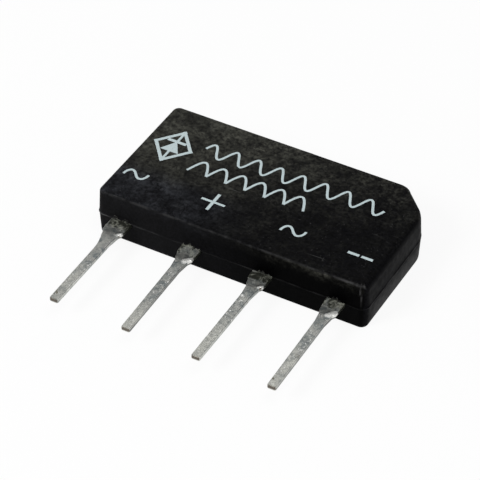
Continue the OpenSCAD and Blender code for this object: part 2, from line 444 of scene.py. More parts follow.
def case_skin(looks):
    """Mesh of the moulded case: drafted sides, flash, gate stub, ejector marks and rubbed edges."""
    half_x = CASE_HIGH.x - looks.flash
    half_y = -CASE_LOW.y - looks.flash
    skin = bmesh.new()
    wear_and_sheen = skin.verts.layers.float.new("wear_and_sheen")
    flash = skin.verts.layers.float.new("flash")
    columns = outline_points(case_corners(looks, half_x, half_y), looks.grain)
    rows = []
    for _, normal in columns:
        on_end = blend_in(normal.x, 0.5, 0.95)
        rows.append(side_rows(looks, looks.face_edge + (looks.end_edge - looks.face_edge) * on_end))
    rings = []
    for row in range(len(rows[0])):
        ring = []
        for column, (base, normal) in enumerate(columns):
            z, inset, slope, share = rows[column][row]
            place = Vector((base.x, base.y, z))
            out = share * looks.flash * (0.3 + 0.7 * blend_in(uneven(place, 0.9 * MM), -0.5, 0.4))
            if base.y > half_y - HAIR and z > PARTING:
                out = max(out, gate_stub(looks, place, inset))
            across = normal * (out - inset)
            vert = skin.verts.new((base.x + across.x, base.y + across.y, z))
            vert[flash] = share**2 * out / looks.flash
            vert[wear_and_sheen] = rubbed_and_highlight_share(normal, z, slope)
            ring.append(vert)
        rings.append(ring)
    join_rings(skin, rings)
    mark_x = looks.ejector_pitch / 2
    marks = [(Vector((x, 0)), looks.ejector / 2, looks.ejector_depth) for x in (-mark_x, mark_x)]
    fill_face(skin, rings[0], looks.grain, marks)
    fill_face(skin, rings[-1], looks.grain)
    roughen(skin, wear_and_sheen)
    return skin


def roughen(skin, wear_and_sheen):
    """Makes the skin a little uneven, with chips where it's rubbed."""
    bmesh.ops.recalc_face_normals(skin, faces=skin.faces)
    skin.normal_update()
    dents = []
    for vert in skin.verts:
        broad = 0.5 + 0.5 * uneven(vert.co, 2.5 * MM)
        fine = 0.5 + 0.5 * uneven(vert.co, 0.28 * MM, 4)
        chip = vert[wear_and_sheen] * blend_in(uneven(vert.co, 0.45 * MM, 9), 0.15, 0.6)
        dents.append(-vert.normal * MM * (0.003 * broad + 0.003 * fine + 0.03 * chip))
    for vert, dent in zip(skin.verts, dents):
        vert.co += dent


# The leads


def lead_profile(name):
    """Outline of a lead from the case to its cut end, as rows of Y, left edge and right edge."""
    front = CASE_LOW.y + bpy.context.scene.rectifier_case.flash
    rows = {}
    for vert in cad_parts[name].data.vertices:
        if vert.co.y < front + HAIR and abs(vert.co.z - PARTING) < HAIR:
            rows.setdefault(round(vert.co.y, 6), []).append(vert.co.x)
    return [(y, min(xs), max(xs)) for y, xs in sorted(rows.items(), reverse=True) if len(xs) > 1]


def profile_at(profile, y):
    """Left and right edge of a lead at a place along it."""
    for (y0, left0, right0), (y1, left1, right1) in zip(profile, profile[1:]):
        if y >= y1:
            t = (y0 - y) / (y0 - y1)
            return left0 + (left1 - left0) * t, right0 + (right1 - right0) * t
    return profile[-1][1:]


def rounded_ring(half_x, half_z, r):
    """Points round a rounded rectangle, each with its outward normal, as (x, z) pairs."""
    corners = [
        (Vector((half_x - r, r - half_z)), -90),
        (Vector((half_x - r, half_z - r)), 0),
        (Vector((r - half_x, half_z - r)), 90),
        (Vector((r - half_x, r - half_z)), 180),
    ]
    arc_steps = 4
    flat_steps = (3, 10, 3, 10)  # along the right side, the upper face, the left side and the under face
    points = []
    for k, (centre, start) in enumerate(corners):
        for i in range(arc_steps + 1):
            turn = math.radians(start + 90 * i / arc_steps)
            normal = Vector((math.cos(turn), math.sin(turn)))
            points.append((centre + r * normal, normal))
        here, normal = points[-1]
        following, _ = corners[(k + 1) % 4]
        there = following + r * normal
        points += [(here.lerp(there, i / flat_steps[k]), normal) for i in range(1, flat_steps[k])]
    return points


def root_spread(lead, distance):
    """How far tin and resin spread past the left edge of a lead, at a distance from the case."""
    ragged = 1 + 0.25 * uneven(Vector((0, distance, 0)), 0.3 * MM, 12)
    fading = blend_in(distance, 0.35 * lead.spread_end * MM, lead.spread_end * MM)
    return lead.spread * MM * ragged * (1 - fading)


def gathered(place, lead, shoulder_x, shoulder_y):
    """How close a place on the upper face is to the drop at the right of the shoulder, from 0 to 1."""
    drop = lead.drop * MM
    inner = Vector((shoulder_x - drop, shoulder_y - 0.9 * drop))
    outer = Vector((shoulder_x, shoulder_y + 0.2 * drop))
    _, way = intersect_point_line(place.xy, inner, outer)
    nearest = inner.lerp(outer, min(1, max(0, way)))
    return 1 - blend_in((place.xy - nearest).length, 0, drop)


def tin_height(place, wet):
    """How high the tin stands at a place: in broad lumps and fine grains, and highest where it's wet."""
    lumps = 0.5 + 0.5 * uneven(place, 0.5 * MM, 2)
    grain = 0.5 + 0.5 * uneven(place, 0.12 * MM, 6)
    return MM * (0.010 * lumps + 0.003 * grain + (0.035 + 0.04 * grain) * wet)


def tin_coat(name, looks):
    """Mesh of the dipped tin round one lead, from just inside the case to near its cut end.

    Its first and last rings are tucked into the strip, so it shows no edge of its own.
    """
    into_case, row_pitch, tuck = 0.05 * MM, 0.06 * MM, 0.004 * MM
    corner = 3.2 * looks.coat
    lead = LEADS[name]
    profile = lead_profile(name)
    root_y = profile[0][0]
    shoulder_y, _, shoulder_x = profile[1]
    start = root_y + into_case
    end = profile[-1][0] + looks.bare_end
    middle_z = (LEAD_UNDER + PARTING) / 2
    half_z = (PARTING - LEAD_UNDER) / 2
    coat = bmesh.new()
    wetted, reach, clean, dark = (
        coat.verts.layers.float.new(layer) for layer in ("wetted", "reach", "clean", "dark")
    )
    count = round((start - end) / row_pitch)
    rings = []
    for row in range(-1, count + 2):
        y = start + (end - start) * min(count, max(0, row)) / count
        tucked = row in (-1, count + 1)
        left, right = profile_at(profile, min(y, root_y))
        left -= root_spread(lead, root_y - y)
        out = -tuck if tucked else looks.coat
        ring = []
        for point, normal in rounded_ring((right - left) / 2 + out, half_z + out, corner):
            place = Vector(((left + right) / 2 + point.x, y, middle_z + point.y))
            on_top = place.z > middle_z and not tucked
            wet = gathered(place, lead, shoulder_x, shoulder_y) if on_top else 0.0
            rise = 0.0 if tucked else tin_height(place, wet)
            vert = coat.verts.new(place + rise * Vector((normal.x, 0, normal.y)))
            vert[wetted] = wet
            vert[reach] = (root_y - y) / MM
            vert[clean] = lead.clean
            vert[dark] = lead.dark
            ring.append(vert)
        rings.append(ring)
    join_rings(coat, rings)
    close_ends(coat, rings)
    cut_rim = rings[-2]
    for first, second in zip(cut_rim, cut_rim[1:] + cut_rim[:1]):
        coat.edges.get((first, second)).smooth = False
    return coat


def resin_lip(name, looks):
    """Mesh of the thin resin that has crept onto one lead and up the case above it."""
    front, left, right = lead_profile(name)[0]
    left -= root_spread(LEADS[name], 0)
    inside = front + 0.08 * MM
    low = PARTING + looks.coat / 2
    foot = low - 0.03 * MM
    lip = bmesh.new()
    reach = lip.verts.layers.float.new("reach")
    count, steps = 70, 6
    overhang = 0.02
    rings = []
    for i in range(count + 1):
        across = i / count
        x = left + (right - left) * (across * (1 + 2 * overhang) - overhang)
        ends = blend_in(min(across, 1 - across), -overhang, 0.12)
        ragged = blend_in(uneven(Vector((x, 0, 0)), 0.16 * MM, 5), -0.35, 0.55)
        up = ends * looks.lip * (0.2 + 1.5 * ragged)
        out = ends * looks.lip * (0.9 + 0.7 * uneven(Vector((x, 0, 0)), 0.2 * MM, 8))
        ring = [lip.verts.new((x, inside, foot)), lip.verts.new((x, inside, low + up))]
        for k in range(steps + 1):
            t = k / steps
            y, z = front - out * t**1.5, low + up * (1 - t) ** 1.5
            bump = 0.012 * MM * uneven(Vector((x, y, z)), 0.09 * MM, 3) * ends
            vert = lip.verts.new((x, y - bump, z + bump))
            vert[reach] = t
            ring.append(vert)
        ring.append(lip.verts.new((x, front - out, foot)))
        rings.append(ring)
    join_rings(lip, rings)
    close_ends(lip, rings)
    return lip


# The ink


def stroke(ink, looks, path, width, layer=0):
    """Adds one stroke of ink along a path. The width is a size, or a function of the share of the way.

    Strokes that cross lie in different layers, one a hair above the other.
    """
    base = CASE_TOP - looks.thickness
    top = CASE_TOP + looks.thickness * (0.3 + 0.1 * layer)
    bevel, ragged = 0.02 * MM, 0.012 * MM
    last = len(path) - 1
    rings = []
    for i, point in enumerate(path):
        along = (path[min(last, i + 1)] - path[max(0, i - 1)]).normalized()
        side = Vector((-along.y, along.x))
        full = width(i / last) if callable(width) else width
        ring = []
        for across, height in ((-1, base), (-1, top), (0, top), (1, top), (1, base)):
            edge = full / 2 - (bevel if height == top and full > 3 * bevel else 0)
            place = point + side * across * edge
            place += side * ragged * across * uneven(Vector((place.x, place.y, 0)), 0.12 * MM)
            ring.append(ink.verts.new((place.x, place.y, height)))
        rings.append(ring)
    join_rings(ink, rings)
    close_ends(ink, rings)


def straight(start, end, step=0.08 * MM):
    """Points along a straight line."""
    start, end = Vector(start), Vector(end)
    count = max(2, round((end - start).length / step))
    return [start.lerp(end, i / count) for i in range(count + 1)]


def curve(function, count):
    """Points of a curve, given as a function of the share of the way."""
    return [Vector(function(i / count)) for i in range(count + 1)]


def tilde(centre, width, height):
    """Points of an alternating-current sign: a steep start, a fall through the middle and a steep end."""
    crest, trough = 0.23, 0.75

    def place(t):
        if t < crest:
            turn = math.pi / 2 * t / crest
            x, y = crest * (1 - math.cos(turn)), math.sin(turn)
        elif t < trough:
            x, y = t, 0.5 + 0.5 * math.cos(math.pi * (t - crest) / (trough - crest))
        else:
            turn = math.pi / 2 * (t - trough) / (1 - trough)
            x, y = trough + (1 - trough) * math.sin(turn), 1 - math.cos(turn)
        return centre[0] + (x - 0.5) * width, centre[1] + (y - 0.5) * height

    return curve(place, 48)


def draw_ac_sign(ink, looks, x):
    """Alternating current: a tilde."""
    width, height, up = 1.5 * MM, 0.58 * MM, 0.02 * MM
    stroke(ink, looks, tilde((x, looks.sign_y + up), width, height), looks.stroke)


def draw_plus_sign(ink, looks, x):
    """Two crossed bars, the upright one a little bolder."""
    arm, up = 0.83 * MM, 0.03 * MM
    y = looks.sign_y + up
    stroke(ink, looks, straight((x - arm, y), (x + arm, y)), 1.05 * looks.stroke)
    stroke(ink, looks, straight((x, y - arm), (x, y + arm)), 1.25 * looks.stroke, layer=1)


def draw_minus_sign(ink, looks, x):
    """Two dashes side by side."""
    dash, gap, down = 0.77 * MM, 0.15 * MM, 0.05 * MM
    y = looks.sign_y - down
    for start in (x - gap / 2 - dash, x + gap / 2):
        stroke(ink, looks, straight((start, y), (start + dash, y)), 1.2 * looks.stroke)


def draw_sine_row(ink, looks):
    """Alternating current: a sine wave with as many waves as fit evenly."""
    height = (looks.wave_height - looks.stroke) / 2
    height_to_length = 0.87
    waves = round(looks.sine_length / looks.wave_height * height_to_length)

    def place(t):
        swing = height * math.sin(2 * math.pi * waves * t)
        return looks.wave_left + looks.sine_length * t, looks.sine_y + swing

    stroke(ink, looks, curve(place, 420), looks.stroke)


def draw_hump_row(ink, looks):
    """Rectified current: a row of humps over a base line."""
    height = looks.wave_height - looks.stroke
    base = looks.hump_y - height / 2
    humps = round(looks.hump_length / looks.wave_height)
    pitch = looks.hump_length / humps
    for hump in range(humps):
        left = looks.wave_left + hump * pitch

        def place(t, left=left):
            return left + pitch * t, base + height * math.sin(math.pi * t)

        stroke(ink, looks, curve(place, 60), looks.stroke, layer=hump % 2)


def draw_circuit_sign(ink, looks):
    """Circuit sign of a bridge rectifier: a diamond with a diode in it."""
    x, y, tall = looks.badge_x, looks.badge_y, looks.badge_height
    bold = 1.3 * looks.stroke
    half_x, half_y = 0.42 * tall - bold / 2, 0.5 * tall - bold / 2
    tips = [Vector((half_x, 0)), Vector((0, half_y)), Vector((-half_x, 0)), Vector((0, -half_y))]
    middle = Vector((x, y))
    for k, (start, end) in enumerate(zip(tips, tips[1:] + tips[:1])):
        past = (end - start).normalized() * bold * 0.5
        stroke(ink, looks, straight(middle + start - past, middle + end + past), bold, layer=k % 2)
    side, foot, head = 0.40 * tall, y - 0.17 * tall, y + 0.15 * tall

    def taper(t):
        return side * (1 - t) + 0.1 * bold

    stroke(ink, looks, straight((x, y - half_y), (x, y + half_y)), looks.stroke, layer=2)
    stroke(ink, looks, straight((x, foot), (x, head)), taper, layer=3)
    stroke(ink, looks, straight((x - side / 2, head), (x + side / 2, head)), bold, layer=4)


# Finishes


class Finish:
    """Material under construction, with short ways to add and join its nodes.

    x, y and z are the place on the part in millimetres, and facing_x, facing_y and facing_z say
    which way the surface looks there.
    """

    def __init__(self, name):
        self.material = bpy.data.materials.new(name)
        self.material.use_nodes = True
        self.nodes = self.material.node_tree.nodes
        self.links = self.material.node_tree.links
        self.shader = self.nodes["Principled BSDF"]
        self.output = self.nodes["Material Output"]
        where = self.add("ShaderNodeTexCoord").outputs["Object"]
        in_mm = {0: where, "Scale": 1 / MM}
        self.place = self.add("ShaderNodeVectorMath", in_mm, operation="SCALE").outputs[0]
        self.x, self.y, self.z = self.add("ShaderNodeSeparateXYZ", {0: self.place}).outputs
        facing = self.add("ShaderNodeNewGeometry").outputs["Normal"]
        self.facing_x, self.facing_y, self.facing_z = self.add("ShaderNodeSeparateXYZ", {0: facing}).outputs

    def put(self, socket, value):
        """Links another node's socket to a socket, or sets it to a constant."""
        if isinstance(value, bpy.types.NodeSocket):
            self.links.new(value, socket)
        elif socket.type == "RGBA" and len(value) == 3:
            socket.default_value = (*value, 1)
        else:
            socket.default_value = value

    def add(self, kind, inputs=None, **settings):
        """Adds a node with its settings, and its inputs by name or number."""
        node = self.nodes.new(kind)
        for name, value in settings.items():
            setattr(node, name, value)
        for name, value in (inputs or {}).items():
            self.put(node.inputs[name], value)
        return node

    def maths(self, operation, a, b=0.0):
        """Result of one operation on one or two values."""
        return self.add("ShaderNodeMath", {0: a, 1: b}, operation=operation).outputs[0]

    def times(self, *factors):
        """Product of all the factors."""
        result = factors[0]
        for factor in factors[1:]:
            result = self.maths("MULTIPLY", result, factor)
        return result

    def plus(self, *terms):
        """Sum of all the terms."""
        result = terms[0]
        for term in terms[1:]:
            result = self.maths("ADD", result, term)
        return result

    def line(self, value, low, high, start=0.0, end=1.0, shape="LINEAR"):
        """Straight line from start to end as value goes from low to high, and level beyond them."""
        inputs = {"Value": value, "From Min": low, "From Max": high, "To Min": start, "To Max": end}
        return self.add("ShaderNodeMapRange", inputs, interpolation_type=shape).outputs[0]

    def ramp(self, value, low, high, start=0.0, end=1.0):
        """Smooth step from start to end as value goes from low to high, and level beyond them."""
        return self.line(value, low, high, start, end, "SMOOTHSTEP")

    def noise(self, per_mm, detail=2.0, roughness=0.5, twist=0.0, stretch=None):
        """Noise from 0 to 1 with the given number of bumps to the millimetre.

        Stretch is a turn, which picks another part of the noise, and a scale for each axis.
        """
        place = self.place
        if stretch:
            turn, scale = stretch
            inputs = {0: place, "Rotation": (0, 0, turn), "Scale": scale}
            place = self.add("ShaderNodeMapping", inputs).outputs[0]
        inputs = {
            "Vector": place,
            "Scale": per_mm,
            "Detail": detail,
            "Roughness": roughness,
            "Distortion": twist,
        }
        return self.add("ShaderNodeTexNoise", inputs).outputs[0]

    def mix(self, factor, first, second):
        """Colour that goes from the first to the second as the factor goes from 0 to 1."""
        # A mix node's sockets for colours are its inputs 6 and 7 and its output 2
        return self.add("ShaderNodeMix", {0: factor, 6: first, 7: second}, data_type="RGBA").outputs[2]

    def attribute(self, name):
        """Value that the mesh holds at its points under this name."""
        return self.add("ShaderNodeAttribute", attribute_name=name).outputs["Fac"]

    def bump(self, height, depth):
        """Bump whose full height is the given depth in millimetres."""
        inputs = {"Height": height, "Distance": depth * MM, "Strength": 1.0}
        return self.add("ShaderNodeBump", inputs).outputs[0]

    def surface(self, **values):
        """Sets the shader's sockets, named in plain words with _ for spaces."""
        for name, value in values.items():
            self.put(self.shader.inputs[name.replace("_", " ")], value)
        return self.material


def scaled(tone, factor):
    """A colour made darker or lighter."""
    return tuple(factor * c for c in tone)


def bare_resin(f, looks, front):
    """Tone of the bare resin: dull in fine clouds, and painted shade that turns the front black towards the
    right.
    """
    fine = f.line(f.noise(6, 4, 0.7), 0.4, 0.62)
    tone = f.mix(fine, scaled(looks.resin, 0.6), scaled(looks.resin, 2.2))
    # Painted shade: the front turns black towards the right.
    return f.mix(f.times(front, f.ramp(f.x, -5.0, 4.0, 0.0, 0.9)), tone, (0, 0, 0))


def painted_reflections(f, front, right):
    """Share of painted reflection on the right end, lightest towards the bottom and darker towards the
    front, with painted shade along the flash line, and of a painted reflection on the front at the left.
    """
    flash, top = PARTING / MM, CASE_TOP / MM
    # Painted reflection on the right end, lightest towards the bottom, with painted shade just under and
    # above the flash.
    under = f.times(f.line(f.z, 0.2, flash - 0.2, 1.2, 0.17), f.ramp(f.z, flash - 0.15, flash - 0.4))
    under = f.times(under, f.ramp(f.y, -4.6, -3.4))
    above = f.times(f.ramp(f.z, flash + 0.1, flash + 0.4), f.line(f.z, top - 1.3, top - 0.3, 1.3, 0.85))
    above = f.times(above, f.ramp(f.y, -3.0, 3.0, 0.04, 0.24))
    # Painted reflection on the front, towards the left.
    front_reflection = f.times(front, f.ramp(f.x, -8.0, 3.0, 0.10, 0.0))
    pale_share = f.plus(f.times(right, f.plus(under, above)), front_reflection)
    return f.times(pale_share, f.line(f.noise(1.2, 4, 0.6), 0.3, 0.7, 0.8, 1.2))


def mottled_filler_and_sheen(f, front, face):
    """Share of pale filler in clouds, patches and speckles.

    On the marked face it's thickest along the back edge and at the back left, where it is partly a
    painted sheen, and on the front it's a smudge under that face's edge.
    """
    cloud = f.line(f.noise(0.75, 3, 0.6, 0.5), 0.35, 0.65, 0.5, 1.5)
    patch = f.line(f.noise(1.7, 3, 0.6, 0.8), 0.38, 0.62, 0.6, 1.4)
    speckle = f.line(f.noise(4.2, 4, 0.65, 0.4), 0.38, 0.62, 0.3, 1.7)
    mottling = f.maths("POWER", f.times(cloud, patch, speckle), f.line(f.x, -7.0, 6.0, 0.72, 1.3))
    # Partly painted sheen: paler towards the back left.
    away = f.plus(f.times(f.y, 0.10), f.times(f.x, -0.075), f.times(f.noise(0.4, 2), 0.5), -0.25)
    pale_share = f.times(f.maths("POWER", f.line(away, -0.7, 0.75), 1.5), 0.70)
    pale_share = f.maths("MAXIMUM", pale_share, f.ramp(f.y, 3.3, 4.9, 0.02, 0.34))
    under_face = f.ramp(f.z, CASE_TOP / MM - 0.9, CASE_TOP / MM)
    smudge = f.times(front, under_face, f.ramp(f.noise(0.9, 3, 0.6), 0.40, 0.66, 0.3, 1.0))
    smudge = f.times(smudge, f.ramp(f.x, -4.5, 0.5, 0.06, 0.30))
    return f.times(f.plus(f.times(face, f.plus(pale_share, 0.03)), smudge), mottling)


def dust_and_scratches(f, face):
    """Share of pale dust and of two sets of fine scratches on the marked face."""
    dust = f.times(face, f.ramp(f.noise(9, 2, 0.5), 0.67, 0.79), 0.5)
    longer = f.ramp(f.noise(1.0, 1, 0.5, 0.3, stretch=(0.5, (0.3, 9, 1))), 0.745, 0.79)
    shorter = f.ramp(f.noise(1.0, 1, 0.5, 0.3, stretch=(-0.7, (0.4, 10, 1))), 0.77, 0.80)
    return f.plus(dust, f.times(face, f.plus(longer, shorter), 0.4))


def rubbed_edges_and_highlight(f):
    """Share of rubbing and painted highlight on the edges, strongest at the right."""
    # Painted highlight, brighter towards the right end.
    stronger_right = f.times(f.ramp(f.x, 7.0, 9.2, 0.0, 0.42), f.ramp(f.noise(3.0, 3, 0.6), 0.35, 0.62, 0.4, 1.2))
    rub = f.plus(f.ramp(f.noise(1.6, 4, 0.6), 0.38, 0.62, 0.03, 0.24), stronger_right)
    return f.times(f.attribute("wear_and_sheen"), rub)


def pale_flash(f, right):
    """Share of pale rubbing and painted highlight on the flash, which is torn at the left end and fades
    towards the right.
    """
    torn = f.times(f.ramp(f.x, -8.3, -8.8), f.ramp(f.facing_y, 0.0, -0.3), 0.8)
    flash = f.times(f.ramp(f.noise(1.1, 3), 0.35, 0.65, 0.02, 0.3), f.line(f.x, -5.0, 3.0, 1.0, 0.6))
    flash = f.times(f.plus(flash, torn), f.attribute("flash"))
    return f.times(flash, f.ramp(right, 0, 1, 1, 0), f.ramp(f.x, 6.0, 8.5, 1.0, 0.15))


def epoxy_finish(looks):
    """Black moulding resin under pale filler, with a veined film at the front left, dust, rubbed edges,
    painted reflections on the right end and front, painted highlights and painted shade.
    """
    f = Finish("epoxy")
    back_and_left = f.maths("MAXIMUM", f.ramp(f.facing_y, 0.0, 0.3), f.ramp(f.facing_x, 0.0, -0.3))
    rim = f.times(back_and_left, f.ramp(f.facing_z, 0.1, 0.5))
    face = f.maths("MAXIMUM", f.ramp(f.facing_z, 0.6, 0.95), rim)
    front = f.ramp(f.facing_y, -0.6, -0.95)
    right = f.ramp(f.facing_x, 0.72, 0.97)
    film = f.times(f.ramp(f.plus(f.y, f.noise(0.8, 3, 0.6)), -0.6, -2.2), f.ramp(f.x, 1.5, -3.0))

    tone = bare_resin(f, looks, front)
    # Painted reflections on the right end and front, and painted shade along the flash there.
    tone = f.mix(f.times(painted_reflections(f, front, right), 0.46), tone, looks.wear_and_sheen)
    filler = f.mix(film, looks.filler, looks.film)
    tone = f.mix(f.times(mottled_filler_and_sheen(f, front, face), 0.6), tone, filler)
    vein = f.maths("ABSOLUTE", f.plus(f.noise(0.5, 2, 0.6, 1.5), -0.5))
    tone = f.mix(f.times(face, film, f.ramp(vein, 0.006, 0.022, 0.6, 0.0)), tone, looks.resin)
    # Dust, scratches and rubbing, with painted highlights on the edges and flash.
    worn_and_sheen = f.plus(dust_and_scratches(f, face), rubbed_edges_and_highlight(f), pale_flash(f, right))
    tone = f.mix(f.maths("MINIMUM", worn_and_sheen, 1.0), tone, looks.wear_and_sheen)

    grain = f.plus(f.times(f.noise(7, 4, 0.65), 0.6), f.times(f.noise(1.8, 3), 0.4))
    rough = f.plus(looks.roughness, f.ramp(f.noise(3, 3), 0.2, 0.8, -0.1, 0.1))
    return f.surface(
        Base_Color=tone, Roughness=rough, Specular_IOR_Level=0.015, Normal=f.bump(grain, 0.012)
    )


def dull_tin(f, looks, patch, speck, outward):
    """Tone of the broad faces: warm and cool patches, clouds that grow paler outward, and bright specks."""
    cloud = f.ramp(f.noise(4.0, 3, 0.65), 0.42, 0.60)
    paler = f.plus(0.45, f.line(f.noise(0.3, 2), 0.4, 0.6, -0.25, 0.35))
    glint = f.ramp(f.noise(2.3, 2, 0.6, 0.3), 0.68, 0.74)
    tone = f.mix(patch, looks.dark_tin, looks.tin)
    tone = f.mix(f.plus(f.times(cloud, 0.45), f.times(outward, paler)), tone, looks.pale_tin)
    tone = f.mix(f.times(speck, 0.9), tone, looks.bright)
    return f.mix(glint, tone, looks.bright)


def stained_root(f, looks, side, tone, rough):
    """Stains the tin at the root, paints shade on the sides near the case and a highlight on the gathered
    drops. Gives back tone, roughness and metal.
    """
    wet = f.times(f.attribute("wetted"), f.line(f.noise(2.6, 3, 0.65), 0.3, 0.7, 0.3, 1.6))
    reach = f.plus(f.attribute("reach"), f.line(f.noise(1.9, 4, 0.65), 0.3, 0.7, -0.35, 0.35))
    clean = f.attribute("clean")
    end = looks.stain_reach / MM
    near_case = f.ramp(reach, end - 0.3, end + 0.3, 1.0, 0.0)
    covered = f.ramp(f.plus(f.noise(0.85, 3, 0.6, 0.4), clean), 0.50, 0.62, 1.0, 0.35)
    stain = f.times(near_case, f.ramp(wet, 0.1, 0.4, 1.0, 0.0), covered)
    fleck = f.ramp(f.plus(f.noise(3.2, 4, 0.7, 0.5), clean), 0.44, 0.68)
    # Painted shade on the sides near the case, in the stain colour.
    shaded_side_near_case = f.times(side, f.ramp(reach, 0.8, 1.6, 1.0, 0.0))

    tone = f.mix(f.times(stain, 0.985), tone, f.mix(fleck, looks.stain, looks.fleck))
    tone = f.mix(shaded_side_near_case, tone, looks.stain)
    # Painted highlight on the gathered drops, with less metal so they stay pale in shade.
    tone = f.mix(f.ramp(wet, 0.2, 0.6), tone, looks.bright)
    rough = f.plus(rough, f.times(stain, 0.1), f.times(wet, -0.2))
    metal = f.times(f.ramp(stain, 0, 1, 1.0, 0.3), f.ramp(shaded_side_near_case, 0, 1, 1.0, 0.0))
    return tone, rough, f.times(metal, f.ramp(wet, 0.02, 0.3, 1.0, 0.6))


def tin_finish(looks, coated):
    """Dull tin, with painted shade low on its sheared sides and brown at its cut end. Only the coat has a
    stained root.
    """
    f = Finish("tin_coat" if coated else "tin")
    under, upper = LEAD_UNDER / MM, PARTING / MM
    patch = f.ramp(f.noise(1.5, 3, 0.6, 0.6), 0.42, 0.58)
    speck = f.ramp(f.noise(4.5, 3, 0.7, 0.4), 0.58, 0.68)
    outward = f.ramp(f.y, -8.5, -12.5)
    # Painted shade low on the sheared sides, varied along them and set for each lead.
    below_edge = f.ramp(f.z, upper - 0.09, upper - 0.02, 1.0, 0.3)
    side = f.times(f.ramp(f.maths("ABSOLUTE", f.facing_x), 0.8, 0.99), below_edge)
    shade = f.times(f.line(outward, 0.0, 1.0, 0.9, 0.75), f.line(f.noise(0.22, 1), 0.4, 0.6, 0.7, 1.1))
    if coated:
        shade = f.maths("MINIMUM", f.times(shade, f.attribute("dark")), 1.0)
    cut_end = f.times(f.ramp(f.z, under + 0.02, under + 0.08), f.ramp(f.facing_y, -0.25, -0.6))
    spot = f.ramp(f.noise(1.3, 3, 0.6, 0.5), 0.66, 0.74)

    tone = dull_tin(f, looks, patch, speck, outward)
    tone = f.mix(f.times(side, shade), tone, looks.side)
    tone = f.mix(cut_end, tone, looks.cut_end)
    tone = f.mix(f.times(spot, 0.7), tone, looks.tarnish)
    rough = f.plus(looks.roughness, f.times(patch, -0.06), f.times(speck, -0.1), f.times(cut_end, 0.15))
    metal = 1.0
    if coated:
        tone, rough, metal = stained_root(f, looks, side, tone, rough)

    grain = f.plus(f.times(f.noise(6, 4, 0.6), 0.6), f.times(f.noise(1.5, 2), 0.6))
    return f.surface(
        Base_Color=tone, Roughness=rough, Metallic=metal, Specular_IOR_Level=0.1, Normal=f.bump(grain, 0.02)
    )


def lip_finish(looks):
    """Resin crept over the roots: dark, with pale greenish flecks where it thins out."""
    f = Finish("resin_lip")
    fleck = f.ramp(f.noise(2.8, 4, 0.7, 0.6), 0.48, 0.70)
    reach = f.attribute("reach")
    tone = f.mix(f.ramp(reach, 0.2, 0.9), scaled(looks.stain, 0.15), looks.stain)
    tone = f.mix(f.times(fleck, f.ramp(reach, 0.05, 0.8, 0.15, 1.0)), tone, looks.fleck)
    return f.surface(
        Base_Color=tone, Roughness=0.45, Specular_IOR_Level=0.12, Normal=f.bump(f.noise(6, 3), 0.02)
    )


def silicon_finish():
    """Dark silicon, more polished in some places than in others."""
    f = Finish("silicon")
    tone = f.mix(f.noise(3, 2), (0.10, 0.11, 0.14), (0.17, 0.19, 0.23))
    rough = f.ramp(f.noise(8, 3), 0.3, 0.7, 0.12, 0.3)
    return f.surface(Base_Color=tone, Metallic=0.6, Roughness=rough)


def solder_finish():
    """Bright solder with a fine grain."""
    f = Finish("solder")
    tone = f.mix(f.noise(5, 3), (0.55, 0.56, 0.58), (0.78, 0.79, 0.80))
    rough = f.ramp(f.noise(9, 2), 0.3, 0.7, 0.22, 0.4)
    return f.surface(Base_Color=tone, Metallic=1.0, Roughness=rough, Normal=f.bump(f.noise(7, 3), 0.01))


def ink_finish(looks):
    """Pale ink, a little thin in places."""
    f = Finish("marking_ink")
    thin = f.ramp(f.noise(7, 4, 0.65), 0.5, 0.8)
    tone = f.mix(f.times(thin, 0.8), looks.ink, scaled(looks.ink, 0.62))
    return f.surface(
        Base_Color=tone, Roughness=0.55, Specular_IOR_Level=0.3, Normal=f.bump(f.noise(9, 3), 0.004)
    )


def dress(name, finish):
    """Gives a solid its finish."""
    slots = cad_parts[name].data.materials
    slots.clear()
    slots.append(finish)


# Stage


def soft_lamp(name, place, size, radiance):
    """Rectangular soft lamp that looks at the origin. The radiance is that of its face."""
    data = bpy.data.lights.new(name, "AREA")
    data.shape = "RECTANGLE"
    data.size, data.size_y = size
    data.energy = radiance * math.pi * size[0] * size[1]
    lamp = bpy.data.objects.new(name, data)
    lamp.location = place
    lamp.rotation_euler = (-Vector(place)).to_track_quat("-Z", "Y").to_euler()
    lamp.visible_camera = False
    bpy.context.scene.collection.objects.link(lamp)


def floor_finish(looks):
    """Pale matt floor, plain white to the camera and in reflections, that keeps the part's shadow."""
    f = Finish("floor")
    f.surface(Base_Color=tuple(looks.floor), Roughness=1.0, Specular_IOR_Level=0.0)
    rays = f.add("ShaderNodeLightPath").outputs
    seen = f.plus(rays["Is Camera Ray"], rays["Is Glossy Ray"], rays["Is Transmission Ray"])
    white = f.add("ShaderNodeEmission", {"Color": (1, 1, 1), "Strength": 1.0}).outputs[0]
    share = f.times(f.maths("MINIMUM", seen, 1.0), looks.whiteness)
    mixed = f.add("ShaderNodeMixShader", {0: share, 1: f.shader.outputs[0], 2: white}).outputs[0]
    f.put(f.output.inputs["Surface"], mixed)
    return f.material


def lay_floor(looks):
    """Round floor, a hair under the part."""
    place = (0, 0, CAD_LOW.z - 2 * HAIR)
    bpy.ops.mesh.primitive_circle_add(vertices=96, radius=0.6, fill_type="NGON", location=place)
    floor = bpy.context.object
    floor.name = "floor"
    floor.data.materials.append(floor_finish(looks))


